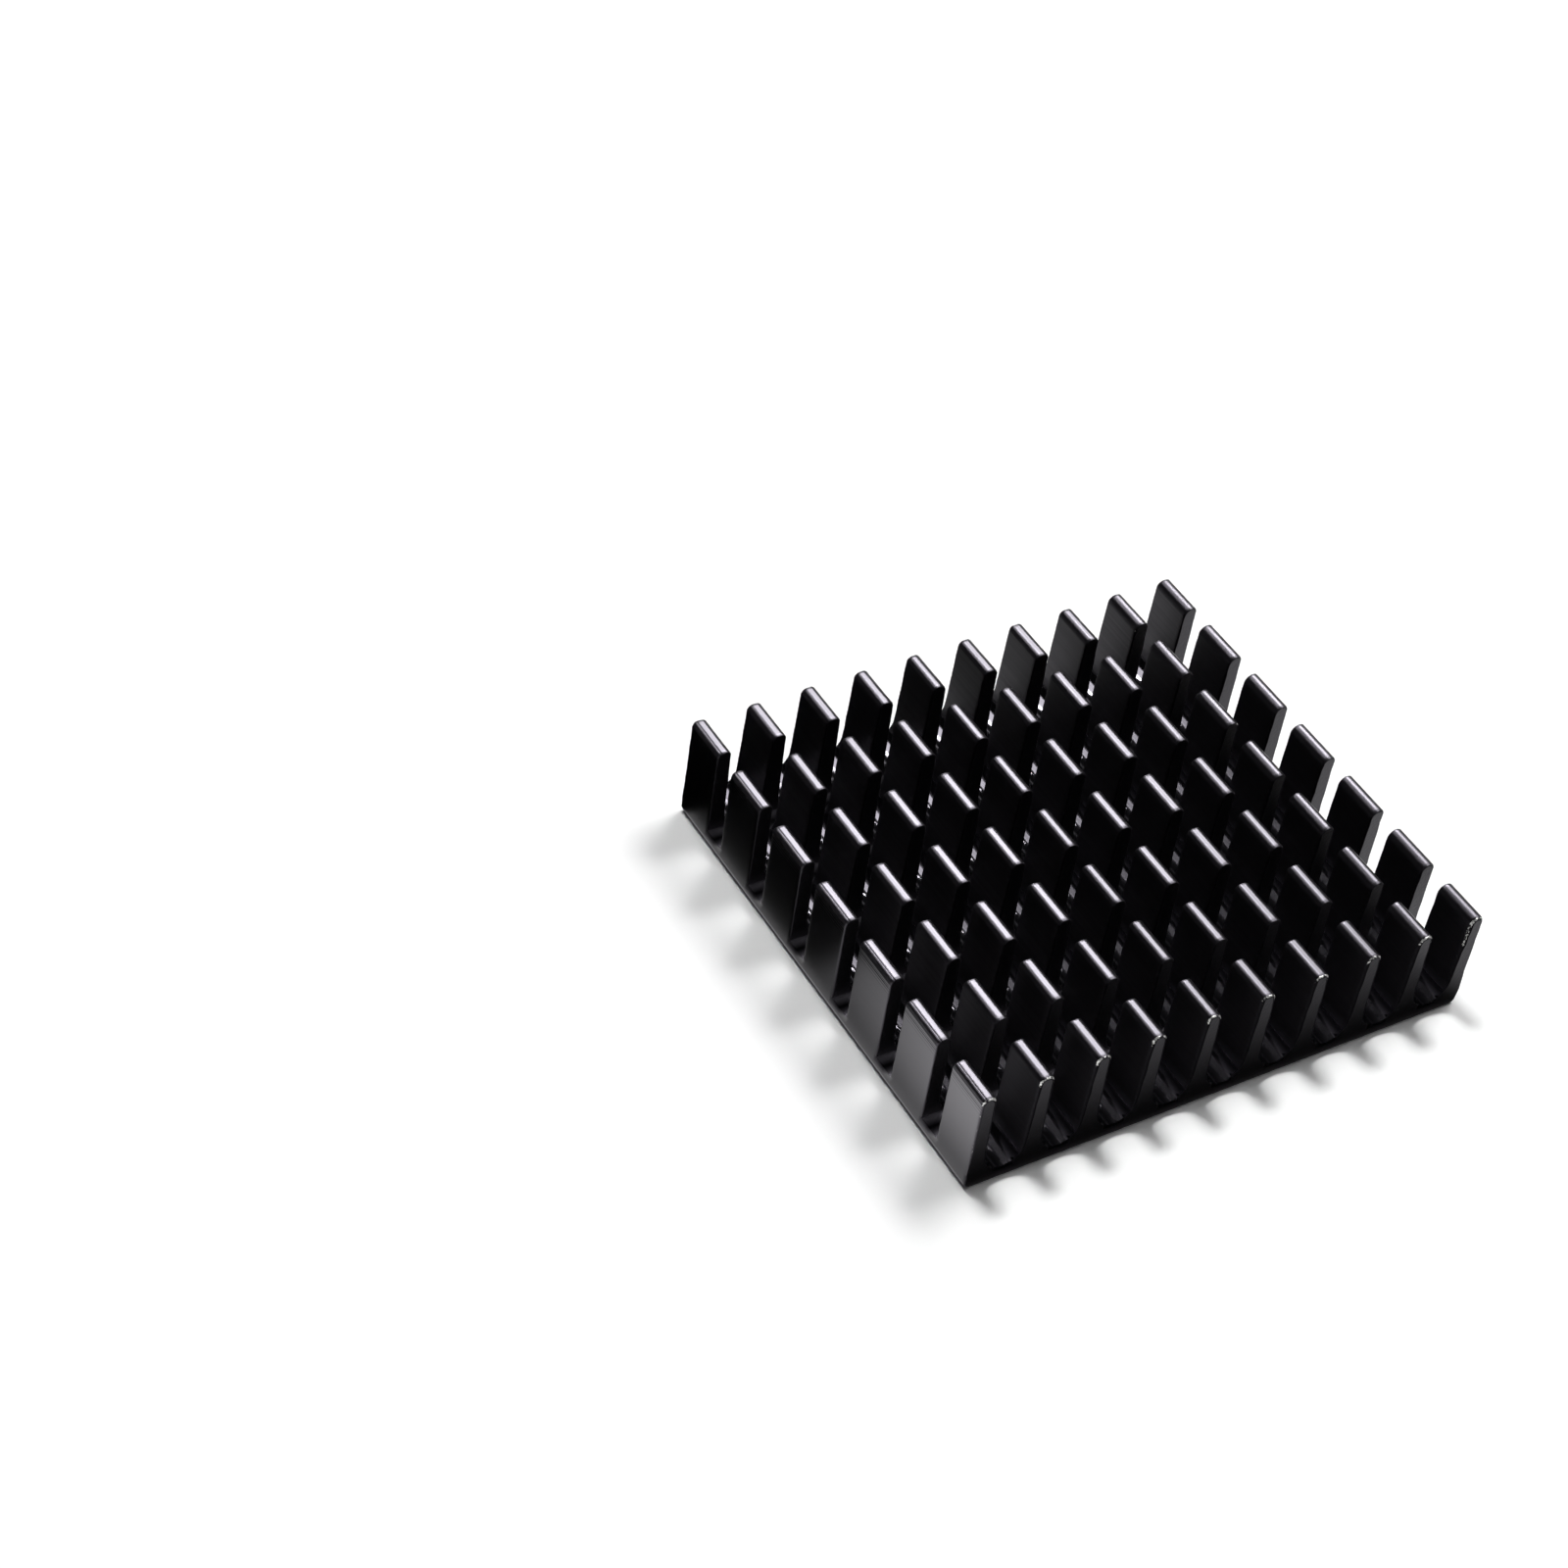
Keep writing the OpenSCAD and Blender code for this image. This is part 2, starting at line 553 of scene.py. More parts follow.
@dataclass
class FinBlock:
    """The whole heat sink: one comb profile, cut to length and sawn across into posts."""

    # Sizes of the plain solid
    base_w: float = 40.0
    base_l: float = 37.5
    base_t: float = 1.0
    edge_r: float = 0.5
    height: float = 8.4
    fin_n: int = 10
    tip_t: float = 1.1
    draft_deg: float = 1.5
    slot_n: int = 6
    slot_w: float = 1.85
    end_post_l: float = 3.6
    slot_rise: float = 0.2
    # The tip rounds as etching leaves them, fin by fin: a little fuller than the plain solid's
    soft_tip_r: tuple[float, ...] = (0.45, 0.44, 0.44, 0.45, 0.48, 0.45, 0.43, 0.48, 0.54, 0.54)
    # How far the die set each fin's tip flat off its middle
    tip_shift: tuple[float, ...] = (0.03, 0.02, 0.02, -0.05, -0.07, -0.04, -0.02, 0.01, 0.1, 0.1)
    # Grooves that the die drags along an outer face: angle from upright on the tip round or level
    # below the tip, depth and half width. The one of negative depth is a bead.
    round_grooves: tuple[tuple[float, float, float], ...] = (
        (22.0, 0.014, 0.03),
        (42.0, -0.02, 0.1),
        (68.0, 0.012, 0.03),
    )
    face_grooves: tuple[tuple[float, float, float], ...] = (
        (0.56, 0.016, 0.045),
        (0.72, 0.022, 0.05),
        (0.93, 0.012, 0.045),
        (1.2, 0.008, 0.05),
    )
    # How far below the tip round the grooves of an outer face reach
    grooved_l: float = 1.0
    # How dull the tips, the outer faces and the base are, from polished 0 to dragged 1
    satin: float = 0.4
    # Sideways part of a face's direction where the die starts to drag it, and drags it fully
    dragged_band: tuple[float, float] = (0.8, 0.97)
    # How near the ends of a post the mesh has a station besides its edges
    station_inset: float = 0.3
    # Shares of the way across a fin where the mesh has a point
    rung_shares: tuple[float, ...] = (0.0, 0.04, 0.35, 0.65, 0.96, 1.0)
    # How far above the base's bottom round the mesh has a level
    edge_inset: float = 0.1
    # Steps of the mesh round a sawn edge, and along each stretch of the comb
    rings: int = 4
    root_steps: int = 10
    groove_steps: int = 8
    flank_steps: int = 6
    crown_steps: int = 10
    outer_flank_steps: int = 40
    outer_crown_steps: int = 36
    edge_steps: int = 8
    # Edges that turn by more than this are shaded sharp
    sharp_deg: float = 42.0
    wear: EdgeWear = field(default_factory=EdgeWear)
    finish: BlackAnodisedAluminium = field(default_factory=BlackAnodisedAluminium)
    # What follows from the sizes: the lean of a flank, the step from fin to fin, the channel root's
    # radius and its centre's level, the slot floors' level, and the angle of the root round, about
    # its centre, where it meets that level on its left
    draft: float = field(init=False)
    pitch: float = field(init=False)
    root_r: float = field(init=False)
    root_z: float = field(init=False)
    slot_z: float = field(init=False)
    root_start: float = field(init=False)
    # Where each row starts and stops along Y, and the knocks
    row_start: np.ndarray = field(init=False)
    row_stop: np.ndarray = field(init=False)
    chips: np.ndarray = field(init=False)

    def __post_init__(self) -> None:
        """Works out the sizes that follow from the others."""
        self.draft = math.radians(self.draft_deg)
        self.pitch = (self.base_w - self.tip_t) / (self.fin_n - 1)
        mouth = (self.pitch - self.tip_t) / 2
        depth = self.height - self.base_t
        foot = mouth - depth * math.tan(self.draft)
        self.root_r = foot * math.cos(self.draft) / (1 - math.sin(self.draft))
        self.root_z = self.base_t + self.root_r
        self.slot_z = self.base_t + self.slot_rise
        self.root_start = math.pi + math.asin((self.root_z - self.slot_z) / self.root_r)
        post_l = (self.base_l - 2 * self.end_post_l - self.slot_n * self.slot_w) / (self.slot_n - 1)
        lengths = np.array([self.end_post_l, *[post_l] * (self.slot_n - 1), self.end_post_l])
        self.row_start = -self.base_l / 2 + np.concatenate([[0], np.cumsum(lengths + self.slot_w)[:-1]])
        self.row_stop = self.row_start + lengths
        self.chips = self.knocks()

    def fin_x(self, fin: int | np.ndarray) -> float | np.ndarray:
        """Place of a fin's middle at its tip, for one fin or an array of them."""
        return -self.base_w / 2 + self.tip_t / 2 + fin * self.pitch

    def is_outer(self, fin: int, hand: Hand) -> bool:
        """Whether this side of the fin is an outer face of the block."""
        return fin == (0 if hand is Hand.LEFT else self.fin_n - 1)

    def knocks(self) -> np.ndarray:
        """Places where a sawn edge is knocked back: scattered ones, and those that show.

        Returns:
            One row a knock: X, Y and Z of its middle, its depth and its spread.
        """
        wear = self.wear
        draw = np.random.default_rng(wear.seed)
        fins = draw.integers(0, self.fin_n, wear.scatter_n)
        side = draw.choice([-1.0, 1.0], wear.scatter_n)
        drop = wear.scatter_drop * draw.random(wear.scatter_n) ** 2
        x = self.fin_x(fins) + side * self.tip_t * wear.scatter_side
        y = draw.choice(np.concatenate([self.row_start, self.row_stop]), wear.scatter_n)
        least_depth, depth_range = wear.scatter_depth
        depth = least_depth + depth_range * draw.random(wear.scatter_n) ** 2
        least_spread, spread_range = wear.scatter_spread
        spread = least_spread + spread_range * draw.random(wear.scatter_n)
        scattered = np.stack([x, y, self.height - drop, depth, spread], axis=1)
        fin, beside, level, deep, wide = np.array(wear.seen).T
        near = np.full_like(fin, -self.base_l / 2)
        seen = np.stack([self.fin_x(fin) + beside, near, level, deep, wide], axis=1)
        return np.concatenate([scattered, seen])

    def edge_radius(self, xz: np.ndarray, y: float) -> tuple[np.ndarray, np.ndarray]:
        """Radius of a sawn edge along a line of the comb, and how worn it is there.

        The radius is the plain one, varied by the waves and larger at the near end, plus a bell
        for each knock near by. It fades to nothing at the slot floors, and at the two ends
        between the base's edge and the posts'. The wear is the plain one, varied by the waves,
        plus what rubbing and knocks add, and the near tips are worn to bare metal.

        Args:
            xz: points of the line.
            y: the sawn face's place along the fins.

        Returns:
            The radius at each point, and the wear, from 0 for none to 1 for specks and more for bare.
        """
        wear = self.wear
        x, z = xz[:, 0], xz[:, 1]
        wave = wear.unevenness(x, y, z)
        below_tip, from_side = self.height - z, self.base_w / 2 - np.abs(x)
        near_end = float(abs(y + self.base_l / 2) < SAME_PLACE)
        chips = self.chips[np.abs(self.chips[:, 1] - y) < SAME_PLACE]
        square = (x[:, None] - chips[:, 0]) ** 2 + (z[:, None] - chips[:, 2]) ** 2
        bell = np.exp(-square / (2 * chips[:, 4] ** 2))
        near_gain = near_end * (wear.near_gain + wear.tip_gain * smoothstep(*wear.tip_gain_band, below_tip))
        radius = wear.plain_r * (1 + wear.r_swing * wave + near_gain) + bell @ chips[:, 3]
        rubbed = near_end * wear.rubbed_wear * smoothstep(*wear.rubbed_band, from_side)
        worn = wear.plain_wear + wear.wear_swing * wave + rubbed + bell @ (chips[:, 3] / wear.speck_depth)
        tip_worn = near_end * (wear.tip_wear + wear.tip_wear_swing * wave)
        tip_worn = tip_worn * smoothstep(*wear.tip_bare_band, below_tip)
        if abs(abs(y) - self.base_l / 2) < SAME_PLACE:
            fade = np.maximum(smoothstep(*wear.post_fade, z), 1 - smoothstep(*wear.base_fade, z))
        else:
            fade = smoothstep(self.slot_z, self.slot_z + wear.slot_fade, z)
        return np.minimum(radius * fade, wear.most_r), np.maximum(np.clip(worn, 0, 1), tip_worn)

    def fin_side(self, fin: int, hand: Hand) -> Outline:
        """Levels of one side of a fin, from the slot floor up to the edge of the tip flat.

        A side that looks into a channel goes up the root's round of root_r, then the leaning
        flank, then the tip round. An outer side is upright all the way to its tip round. X is
        worked out to the right of the fin's middle and turned to the left by the hand's sign.

        Args:
            fin: the fin's number from the left.
            hand: which side.

        Returns:
            The levels, from the lowest up.
        """
        outer = self.is_outer(fin, hand)
        outermost = fin in (0, self.fin_n - 1)
        crown_n = self.outer_crown_steps if outermost else self.crown_steps
        lean = 0.0 if outer else self.draft
        tip_r = self.soft_tip_r[fin] - hand.value * self.tip_shift[fin]
        crown_x = self.tip_t / 2 + tip_r * (math.tan(lean) - 1 / math.cos(lean))
        crown_z = self.height - tip_r
        root_a = np.linspace(self.root_start, math.pi + self.draft, self.root_steps + 1)
        round_root = np.stack([np.cos(root_a), np.sin(root_a)], axis=1)
        crown_a = np.linspace(lean, math.pi / 2, crown_n + 1)
        round_tip = np.stack([np.cos(crown_a), np.sin(crown_a)], axis=1)
        root = np.array([self.pitch / 2, self.root_z]) + self.root_r * round_root
        root_out = -round_root
        if outer:
            root[:, 0] = self.tip_t / 2
            root_out = np.tile([1.0, 0.0], (len(root), 1))
        tip = np.array([crown_x, crown_z]) + tip_r * round_tip
        t = np.linspace(0, 1, self.flank_steps + 1)[1:-1, None]
        if outermost:
            grooved = 1 - self.grooved_l / (tip[0, 1] - root[-1, 1])
            fine = np.linspace(grooved, 1, self.outer_flank_steps + 1)[:-1, None]
            t = np.concatenate([t * grooved, fine])
        flank = root[-1] * (1 - t) + tip[0] * t
        flank_out = np.tile([math.cos(lean), math.sin(lean)], (len(flank), 1))
        if outer:
            tip -= round_tip * self.groove_depth(self.round_grooves, math.pi / 2 - crown_a, tip_r)
            flank -= flank_out * self.groove_depth(self.face_grooves, self.height - flank[:, 1])
        xz = np.concatenate([root, flank, tip]) * [hand.value, 1] + [self.fin_x(fin), 0]
        out = np.concatenate([root_out, flank_out, round_tip]) * [hand.value, 1]
        if outer:
            return Outline(xz, out, np.full(len(out), self.satin))
        steep = smoothstep(*self.dragged_band, np.abs(out[:, 0]))
        start = np.where(np.arange(len(out)) < len(root), 0.0, self.satin)
        return Outline(xz, out, start + (1 - start) * steep)

    @staticmethod
    def groove_depth(
        grooves: tuple[tuple[float, float, float], ...], place: np.ndarray, radius: float | None = None
    ) -> np.ndarray:
        """Depth of the die grooves at places along a line: a bell for each groove.

        Args:
            grooves: for each, its place, depth and half width. On a round the place is in degrees.
            place: lengths along the line, or angles in radians on a round.
            radius: the round's radius.

        Returns:
            The depth at each place, as a column.
        """
        depth = np.zeros(len(place))
        for at, deep, half in grooves:
            gap = place - at if radius is None else (place - math.radians(at)) * radius
            depth += deep * np.exp(-((gap / half) ** 2))
        return depth[:, None]

    def rung(self, left: np.ndarray, right: np.ndarray) -> np.ndarray:
        """Points on the straight way from left to right, at the shares of a rung."""
        share = np.array(self.rung_shares)[:, None]
        return left * (1 - share) + right * share

    def tip_flat(self, fin: int) -> Outline:
        """The points of a tip's flat between its two rounds, left to right.

        Args:
            fin: the fin's number from the left.

        Returns:
            The points of the rung between the two sides, without its ends.
        """
        xz = self.rung(*(self.fin_side(fin, hand).xz[-1] for hand in Hand))[1:-1]
        return Outline(xz, np.tile([0.0, 1.0], (len(xz), 1)), np.full(len(xz), self.satin))

    def groove(self, channel: int) -> Outline:
        """The channel's root below the slot level: the arc of root_r between its two end points.

        Args:
            channel: the channel's number from the left.

        Returns:
            The arc, left to right, without its two end points. It is polished.
        """
        angle = np.linspace(self.root_start, 3 * math.pi - self.root_start, self.groove_steps + 1)[1:-1]
        turn = np.stack([np.cos(angle), np.sin(angle)], axis=1)
        centre = np.array([self.fin_x(channel) + self.pitch / 2, self.root_z])
        return Outline(centre + self.root_r * turn, -turn, np.zeros(len(turn)))

    def comb(self) -> Outline:
        """The upper outline of the whole comb, from the left side at the slot level to the right.

        Returns:
            The fins' outlines and the grooves between them, end to end.
        """
        lines = []
        for fin in range(self.fin_n):
            left, right = self.fin_side(fin, Hand.LEFT), self.fin_side(fin, Hand.RIGHT)
            lines += [left, self.tip_flat(fin), right.reversed()]
            if fin < self.fin_n - 1:
                lines.append(self.groove(fin))
        return lines[0].joined(*lines[1:])

    def edge_rings(self, line: Outline, y: float, end: End) -> tuple[np.ndarray, np.ndarray]:
        """Rings of points that round a sawn edge along a line of the comb.

        Ring by ring the angle goes from 0 on the sawn face to 90 degrees on the pressed one. The
        point is set back into the metal by radius x (1 - sin angle) and lies radius x (1 - cos
        angle) in from the sawn face.

        Args:
            line: the line whose edge is rounded.
            y: the sawn face's place.
            end: which end of the row it is.

        Returns:
            The points, rings by points by 3, and their marks.
        """
        radius, worn = self.edge_radius(line.xz, y)
        angle = np.linspace(0, math.pi / 2, self.rings)[:, None]
        back = line.xz[None] - line.out[None] * (radius * (1 - np.sin(angle)))[..., None]
        depth = y + end.value * radius * (1 - np.cos(angle))
        xyz = np.stack([back[..., 0], depth, back[..., 1]], axis=-1)
        sawn = (1 - angle / (math.pi / 2)) * (radius[None] > 0)
        dull = np.broadcast_to(line.dull[None], depth.shape)
        return xyz, np.stack([sawn, np.sin(2 * angle) * worn[None], dull], axis=-1)

    @staticmethod
    def stations(start: float, stop: float, inset: float = 0.0) -> np.ndarray:
        """Three places along Y: one near start, the middle, and one near stop."""
        return np.array([start + inset, (start + stop) / 2, stop - inset])

    @staticmethod
    def carried(line: Outline, y: np.ndarray) -> tuple[np.ndarray, np.ndarray]:
        """A line of the comb, carried along Y.

        Args:
            line: the line.
            y: the places that it is carried to.

        Returns:
            The points, places by points by 3, and their marks, which are the line's dullness.
        """
        xyz = np.empty((len(y), len(line.xz), 3))
        xyz[..., 0], xyz[..., 1], xyz[..., 2] = line.xz[:, 0], y[:, None], line.xz[:, 1]
        marks = np.zeros_like(xyz)
        marks[..., 2] = line.dull
        return xyz, marks

    def add_pressed(self, skin: Skin, line: Outline, y: np.ndarray, start: float, stop: float) -> None:
        """Adds pressed faces: a line carried along Y, with a rounded sawn edge at either end.

        Args:
            skin: takes the grid.
            line: the line.
            y: the places between the two edges.
            start: the near sawn face's place.
            stop: the far sawn face's place.
        """
        near, near_marks = self.edge_rings(line, start, End.NEAR)
        far, far_marks = self.edge_rings(line, stop, End.FAR)
        middle, middle_marks = self.carried(line, y)
        xyz = np.concatenate([near, middle, far[::-1]])
        skin.add_grid(xyz, np.concatenate([near_marks, middle_marks, far_marks[::-1]]), flip=True)

    def add_sawn_face(self, skin: Skin, y: float, end: End) -> None:
        """Adds the sawn faces of the fins at one end of a row.

        Each fin's face is a ladder: at every level a rung goes straight from its left side to its
        right side, and the top rung follows the tip flat.

        Args:
            skin: takes the grids.
            y: the face's place.
            end: which end of the row it is.
        """
        for fin in range(self.fin_n):
            lines = [self.fin_side(fin, hand) for hand in Hand]
            ladder = self.rung(*(self.edge_rings(line, y, end)[0][0][:, None, :] for line in lines))
            ladder[-1, 1:-1] = self.edge_rings(self.tip_flat(fin), y, end)[0][0]
            skin.add_grid(ladder, np.broadcast_to(SAWN_FACE, ladder.shape), flip=end is End.NEAR)

    def slot_line(self) -> Outline:
        """The slot floor's line across the block: a level rung under each fin, and the grooves.

        Returns:
            The line from left to right. What the saw left level is dull.
        """
        lines = []
        for fin in range(self.fin_n):
            xz = self.rung(*(self.fin_side(fin, hand).xz[0] for hand in Hand))
            lines.append(Outline(xz, np.tile([0.0, 1.0], (len(xz), 1)), np.ones(len(xz))))
            if fin < self.fin_n - 1:
                lines.append(self.groove(fin))
        return lines[0].joined(*lines[1:])

    def add_slot_floors(self, skin: Skin) -> None:
        """Adds the floors that the saw left between the rows, with the channels' grooves in them.

        Args:
            skin: takes the grids.
        """
        line = self.slot_line()
        for start, stop in zip(self.row_stop[:-1], self.row_start[1:]):
            xyz, marks = self.carried(line, self.stations(start, stop))
            marks[..., 0] = line.dull
            skin.add_grid(xyz, marks, flip=True)

    def base_side(self, hand: Hand) -> Outline:
        """One side of the base: upright from the slot level, then the bottom edge's quarter round.

        Args:
            hand: which side.

        Returns:
            The levels, from the highest down.
        """
        z = np.array([self.slot_z, self.edge_r + self.edge_inset])
        angle = np.linspace(0, -math.pi / 2, self.edge_steps + 1)
        turn = np.stack([np.cos(angle), np.sin(angle)], axis=1)
        upright = np.stack([np.full_like(z, self.base_w / 2), z], axis=1)
        bend = np.array([self.base_w / 2 - self.edge_r, self.edge_r]) + self.edge_r * turn
        out = np.concatenate([np.tile([1.0, 0.0], (len(z), 1)), turn])
        xz = np.concatenate([upright, bend]) * [hand.value, 1]
        return Outline(xz, out * [hand.value, 1], np.full(len(xz), self.satin))

    def base_bottom(self) -> Outline:
        """The bottom face's line between the two rounded edges.

        Returns:
            The points under those of the slot line, left to right, drawn in by the edges' rounds.
        """
        half = self.base_w / 2 - self.edge_r
        x = (self.slot_line().xz[:, 0] / (self.base_w / 2) * half)[1:-1]
        xz = np.stack([x, np.zeros_like(x)], axis=1)
        return Outline(xz, np.tile([0.0, -1.0], (len(x), 1)), np.full_like(x, self.satin))

    def add_base(self, skin: Skin) -> None:
        """Adds the base below the slot level: its sides and bottom, and its two sawn ends.

        The line goes down the right side, along the bottom and up the left side, and is carried
        along Y through every station of the rows and slots. The sawn ends are ladders from the
        left side to the right side.

        Args:
            skin: takes the grids.
        """
        left, right = (self.base_side(hand) for hand in Hand)
        line = right.joined(self.base_bottom().reversed(), left.reversed())
        rows = [self.stations(*row, self.station_inset) for row in zip(self.row_start, self.row_stop)]
        slots = [self.stations(*slot) for slot in zip(self.row_stop[:-1], self.row_start[1:])]
        y = np.sort(np.concatenate(rows + slots))
        self.add_pressed(skin, line, y, self.row_start[0], self.row_stop[-1])
        share = (self.slot_line().xz[:, 0] / self.base_w + 0.5)[None, :, None]
        for place, end in ((self.row_start[0], End.NEAR), (self.row_stop[-1], End.FAR)):
            sides = [self.edge_rings(side, place, end)[0][0][:, None, :] for side in (left, right)]
            ladder = sides[0] * (1 - share) + sides[1] * share
            ladder[0, 1:-1] = self.sawn_foot(place, end)
            ladder[-1, 1:-1] = self.edge_rings(self.base_bottom(), place, end)[0][0]
            skin.add_grid(ladder, np.broadcast_to(SAWN_FACE, ladder.shape), flip=end is End.FAR)

    def sawn_foot(self, y: float, end: End) -> np.ndarray:
        """The rung at the slot level of a sawn end, without its two outermost points.

        Args:
            y: the sawn end's place.
            end: which end it is.

        Returns:
            The points, as add_sawn_face puts them there.
        """
        rungs = []
        for fin in range(self.fin_n):
            feet = [self.fin_side(fin, hand).part(0, 1) for hand in Hand]
            rungs.append(self.rung(*(self.edge_rings(foot, y, end)[0][0] for foot in feet)))
            if fin < self.fin_n - 1:
                rungs.append(self.edge_rings(self.groove(fin), y, end)[0][0])
        return np.concatenate(rungs)[1:-1]

    def build(self) -> bpy.types.Object:
        """Builds the block as one closed mesh and dresses it.

        Returns:
            The finished piece, in place of the plain solid.
        """
        skin = Skin()
        line = self.comb()
        for start, stop in zip(self.row_start, self.row_stop):
            self.add_pressed(skin, line, self.stations(start, stop, self.station_inset), start, stop)
            self.add_sawn_face(skin, start, End.NEAR)
            self.add_sawn_face(skin, stop, End.FAR)
        self.add_slot_floors(skin)
        self.add_base(skin)
        block = skin.to_object("cross_cut_fin_block", self.finish.make())
        block.data.set_sharp_from_angle(angle=math.radians(self.sharp_deg))
        even = block.modifiers.new("flat_faces_stay_flat", "WEIGHTED_NORMAL")
        even.keep_sharp = True
        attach(block, "root")
        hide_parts("heat_sink")
        return block


@dataclass(frozen=True)
class GlowCard:
    """A card that glows with a painted reflection of the floor. Its mark "dull" gives how much."""

    name: str = "painted_glow_card"

    def make(self) -> bpy.types.Material:
        """Builds the node tree.

        Returns:
            The material.
        """
        material = bpy.data.materials.new(self.name)
        tree = blank_tree(material)
        glow = add_node(tree, "ShaderNodeAttribute", attribute_name="dull").outputs["Fac"]
        shader = add_node(tree, "ShaderNodeEmission", {"Strength": glow})
        add_node(tree, "ShaderNodeOutputMaterial", {"Surface": shader.outputs["Emission"]})
        return material


@dataclass
class PaintedReflectionCard:
    """A card that lies on the floor round the block and is seen only in its glossy faces.

    It glows with a painted reflection of a floor where the block leans and shades other places
    than it does lying flat: painted shade close to the block, and painted dark behind its left corner.
    """

    # Half of the block's width and length
    side_x: float
    end_y: float
    # Half of the card's side, the step of its grid, and its level
    half: float = 130.0
    step: float = 1.0
    level: float = -0.01
    # In front: the glow, how far from the near end it starts and is full, and the rise's power
    front_glow: float = 0.88
    front_fade: tuple[float, float] = (0.5, 9.0)
    front_power: float = 1.3
    # How much nearer the front's glow comes past the right corner, and where that starts and is full
    corner_lift: float = 4.0
    corner_band: tuple[float, float] = (-0.5, 2.0)
    # On the left: the glow, and how far from the block it starts and is full
    left_glow: float = 2.6
    left_fade: tuple[float, float] = (-1.2, 5.8)
    # Where the left side has its whole glow, how much each millimetre further takes, and the most
    left_full_y: float = -12.0
    left_fall: float = 0.05
    left_most: float = 1.05
    # Where along the block the left side goes dark
    left_dark: tuple[float, float] = (0.0, 3.0)
    # Behind: the glow, and where across the block it goes dark
    behind_glow: float = 1.2
    behind_dark: tuple[float, float] = (2.0, -6.0)
    card: GlowCard = field(default_factory=GlowCard)

    def shade(self, x: np.ndarray, y: np.ndarray) -> np.ndarray:
        """Light that the card gives off: a painted reflection of the floor, with painted shade.

        In front it rises away from the near end. On the left it rises away from the block, falls
        along it and then goes dark. Behind, it is dark on the left.

        Args:
            x: places across the block.
            y: places along it.

        Returns:
            The radiance at each place.
        """
        lift = self.corner_lift * smoothstep(*self.corner_band, x - self.side_x)
        front = self.front_glow * smoothstep(*self.front_fade, lift - self.end_y - y) ** self.front_power
        along = np.clip(1 - self.left_fall * (y - self.left_full_y), 0.0, self.left_most)
        left = along * smoothstep(*self.left_fade, -self.side_x - x) * (1 - smoothstep(*self.left_dark, y))
        behind = self.behind_glow * (1 - smoothstep(*self.behind_dark, x))
        plain = np.where(y > self.end_y, behind, np.where(y < -self.end_y, front, 1.0))
        return np.where(x < -self.side_x, self.left_glow * left, plain)

    def build(self) -> bpy.types.Object:
        """Builds the card as a level grid with its light at each point.

        Returns:
            The card, seen only in glossy faces.
        """
        line = np.arange(-self.half, self.half + self.step / 2, self.step)
        x, y = np.meshgrid(line, line, indexing="ij")
        marks = np.zeros((*x.shape, 3))
        # The mark dull here carries the card's painted reflection glow, not any dullness.
        marks[..., 2] = self.shade(x, y)
        skin = Skin()
        skin.add_grid(np.stack([x, y, np.full_like(x, self.level)], axis=-1), marks)
        card = skin.to_object("painted_reflection_card", self.card.make())
        card.visible_camera = card.visible_diffuse = card.visible_shadow = card.visible_transmission = False
        return card


@dataclass
class StudioCove:
    """A round white floor whose rim sweeps up, so no edge shows from any side."""

    floor_r: float = 2600.0
    sweep_r: float = 900.0
    level: float = -0.02
    # Points of the mesh along the floor's radius, up the sweep and once round
    floor_points: int = 12
    sweep_points: int = 17
    round_points: int = 97
    paper: WhitePaper = field(default_factory=WhitePaper)

    def build(self) -> bpy.types.Object:
        """Builds the cove: a line out from the middle and up a quarter round, turned about Z.

        Returns:
            The cove.
        """
        out = np.linspace(0, self.floor_r, self.floor_points)
        angle = np.linspace(0, math.pi / 2, self.sweep_points)[1:]
        r = np.concatenate([out, self.floor_r + self.sweep_r * np.sin(angle)])[:, None]
        z = np.concatenate([np.zeros_like(out), self.sweep_r * (1 - np.cos(angle))])[:, None] + self.level
        turn = np.linspace(0, 2 * math.pi, self.round_points)
        skin = Skin()
        skin.add_grid(np.stack(np.broadcast_arrays(r * np.cos(turn), r * np.sin(turn), z), axis=-1))
        cove = skin.to_object("studio_cove", self.paper.make())
        return cove


class Task(Enum):
    """What a softbox is for: to light the scene, or to be seen as a shine in glossy surfaces."""

    LIGHT = "light"
    SHINE = "shine"


@dataclass(frozen=True)
class Softbox:
    """A soft rectangular lamp that looks at the object."""

    name: str
    towards: tuple[float, float, float]
    width: float
    depth: float
    radiance: float
    task: Task
    roll_deg: float = 0.0
    distance: float = 2000.0

    def build(self) -> bpy.types.Object:
        """Places the lamp along its direction, with its width level and then rolled.

        A flat lamp of radiance L and area A gives off pi x L x A watts.

        Returns:
            The lamp.
        """
        back = np.array(self.towards) / np.linalg.norm(self.towards)
        level = np.cross([0.0, 1.0, 0.0], back)
        level /= np.linalg.norm(level)
        roll = math.radians(self.roll_deg)
        level = level * math.cos(roll) + np.cross(back, level) * math.sin(roll)
        lamp = bpy.data.lights.new(self.name, "AREA")
        lamp.shape = "RECTANGLE"
        lamp.size, lamp.size_y = self.width * MM, self.depth * MM
        lamp.energy = math.pi * self.radiance * lamp.size * lamp.size_y
        body = bpy.data.objects.new(self.name, lamp)
        body.visible_glossy = self.task is Task.SHINE
        body.visible_diffuse = self.task is Task.LIGHT
        turn = Matrix(np.stack([level, np.cross(back, level), back], axis=1).tolist()).to_4x4()
        body.matrix_world = Matrix.Translation((back * self.distance * MM).tolist()) @ turn
        bpy.context.scene.collection.objects.link(body)
        return body


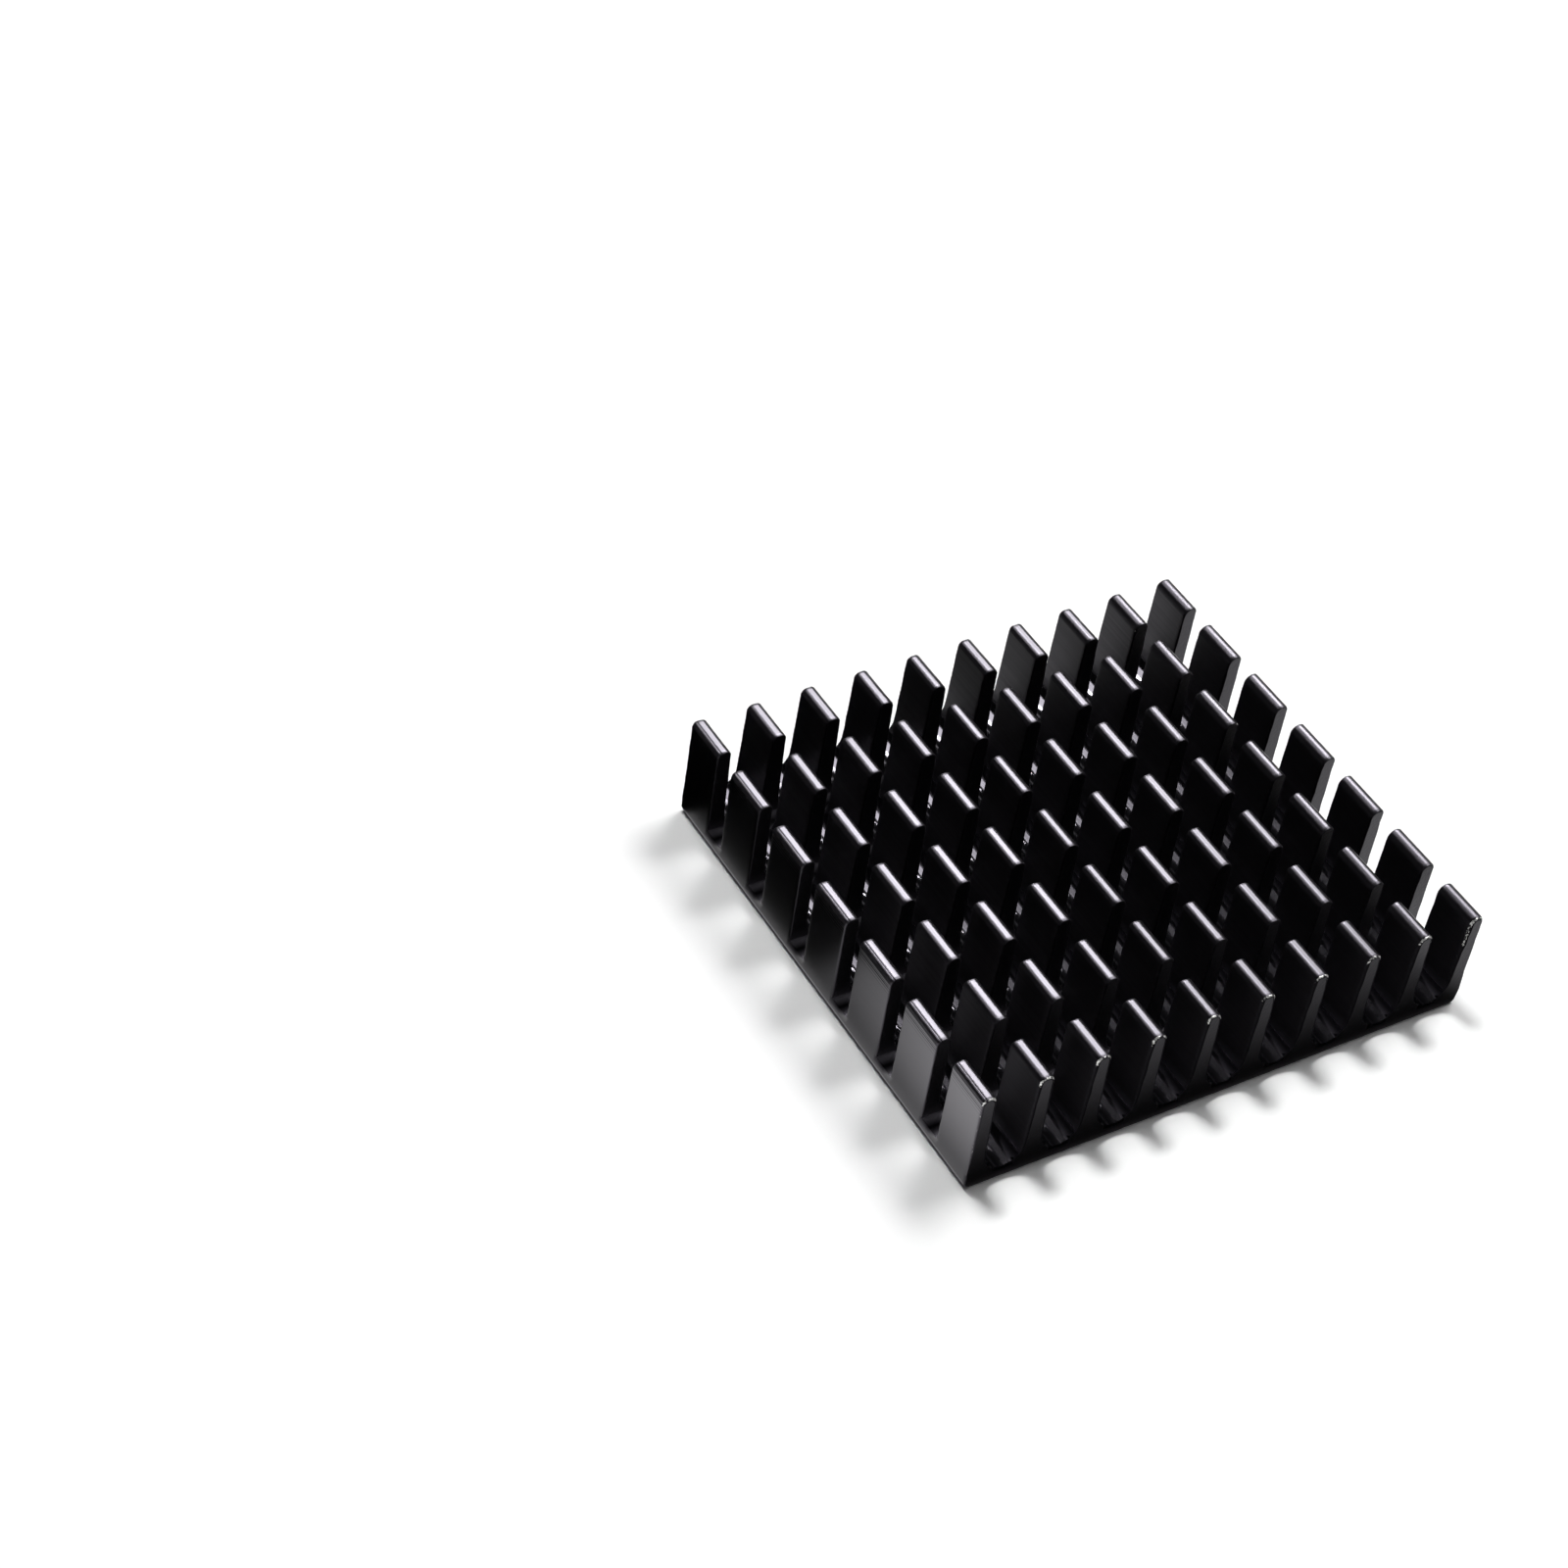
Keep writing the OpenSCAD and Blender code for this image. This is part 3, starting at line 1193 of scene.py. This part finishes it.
# The first three light the floor and cast the shadow. The others shine in the fin tips, in the
# channel roots and on the edges.
SOFTBOXES = (
    Softbox("key_softbox", (-0.05, 0.31, 0.95), 400.0, 240.0, 76.0, Task.LIGHT),
    Softbox("side_softbox", (0.52, 0.18, 0.84), 600.0, 1000.0, 14.0, Task.LIGHT),
    Softbox("fill_softbox", (0.0, 0.1, 1.0), 2400.0, 2400.0, 0.1, Task.LIGHT),
    Softbox("tip_strip", (0.385, 0.555, 0.76), 740.0, 109.0, 160.0, Task.SHINE, roll_deg=-8.0),
    Softbox("root_softbox", (-0.08, 0.585, 0.805), 1100.0, 180.0, 18.0, Task.SHINE),
    Softbox("rim_softbox", (0.42, -0.1, 0.9), 700.0, 1800.0, 14.0, Task.SHINE),
)


@dataclass
class StudioAir:
    """The dim even light that comes from all round."""

    colour: str = "#ffffff"
    strength: float = 0.01

    def build(self) -> bpy.types.World:
        """Sets the world's light.

        Returns:
            The world.
        """
        world = bpy.data.worlds.new("studio_air")
        tree = blank_tree(world)
        glow = {"Color": linear(self.colour), "Strength": self.strength}
        light = add_node(tree, "ShaderNodeBackground", glow)
        add_node(tree, "ShaderNodeOutputWorld", {"Surface": light.outputs["Background"]})
        bpy.context.scene.world = world
        return world


@dataclass
class PhotoCamera:
    """The camera that sees the object as the photograph does."""

    # Fitted to the fin tips and the base's edges in the photograph
    place: tuple[float, float, float] = (-118.25, -127.29, 168.82)
    aim: tuple[float, float, float] = (-11.949, 18.170, 0.0)
    roll_deg: float = 9.069
    lens_mm: float = 80.2376
    sensor_mm: float = 36.0
    # Nearest and farthest distances that it sees
    clip_mm: tuple[float, float] = (10.0, 10000.0)

    def build(self) -> bpy.types.Object:
        """Places the camera, looks at the aim and then rolls about the line of sight.

        Returns:
            The camera, made the scene's own.
        """
        place = np.array(self.place)
        ahead = np.array(self.aim) - place
        ahead /= np.linalg.norm(ahead)
        level = np.cross(ahead, [0.0, 0.0, 1.0])
        level /= np.linalg.norm(level)
        upright = np.cross(level, ahead)
        roll = math.radians(self.roll_deg)
        right = level * math.cos(roll) + upright * math.sin(roll)
        lens = bpy.data.cameras.new("photo_camera")
        lens.sensor_fit, lens.sensor_width, lens.lens = "HORIZONTAL", self.sensor_mm, self.lens_mm
        lens.clip_start, lens.clip_end = (far * MM for far in self.clip_mm)
        body = bpy.data.objects.new("photo_camera", lens)
        turn = Matrix(np.stack([right, np.cross(right, ahead), -ahead], axis=1).tolist()).to_4x4()
        body.matrix_world = Matrix.Translation((place * MM).tolist()) @ turn
        bpy.context.scene.collection.objects.link(body)
        bpy.context.scene.camera = body
        return body


def main() -> None:
    """Builds the block, the studio and the camera, and reports each piece."""
    logging.basicConfig(level=logging.INFO, format="%(name)s: %(message)s")
    bpy.context.scene.view_settings.view_transform = "Standard"
    fins = FinBlock()
    block = fins.build()
    log.info("%s: %d vertices, %d faces", block.name, len(block.data.vertices), len(block.data.polygons))
    cove = StudioCove().build()
    log.info("%s: %d faces", cove.name, len(cove.data.polygons))
    card = PaintedReflectionCard(fins.base_w / 2, fins.base_l / 2).build()
    log.info("%s: %d faces", card.name, len(card.data.polygons))
    for softbox in SOFTBOXES:
        lamp = softbox.build()
        log.info("%s at %s", lamp.name, [round(v, 3) for v in lamp.location])
    air = StudioAir().build()
    log.info("%s lights the scene from all round", air.name)
    camera = PhotoCamera().build()
    log.info("%s at %s", camera.name, [round(v, 4) for v in camera.location])


if __name__ == "__main__":
    main()
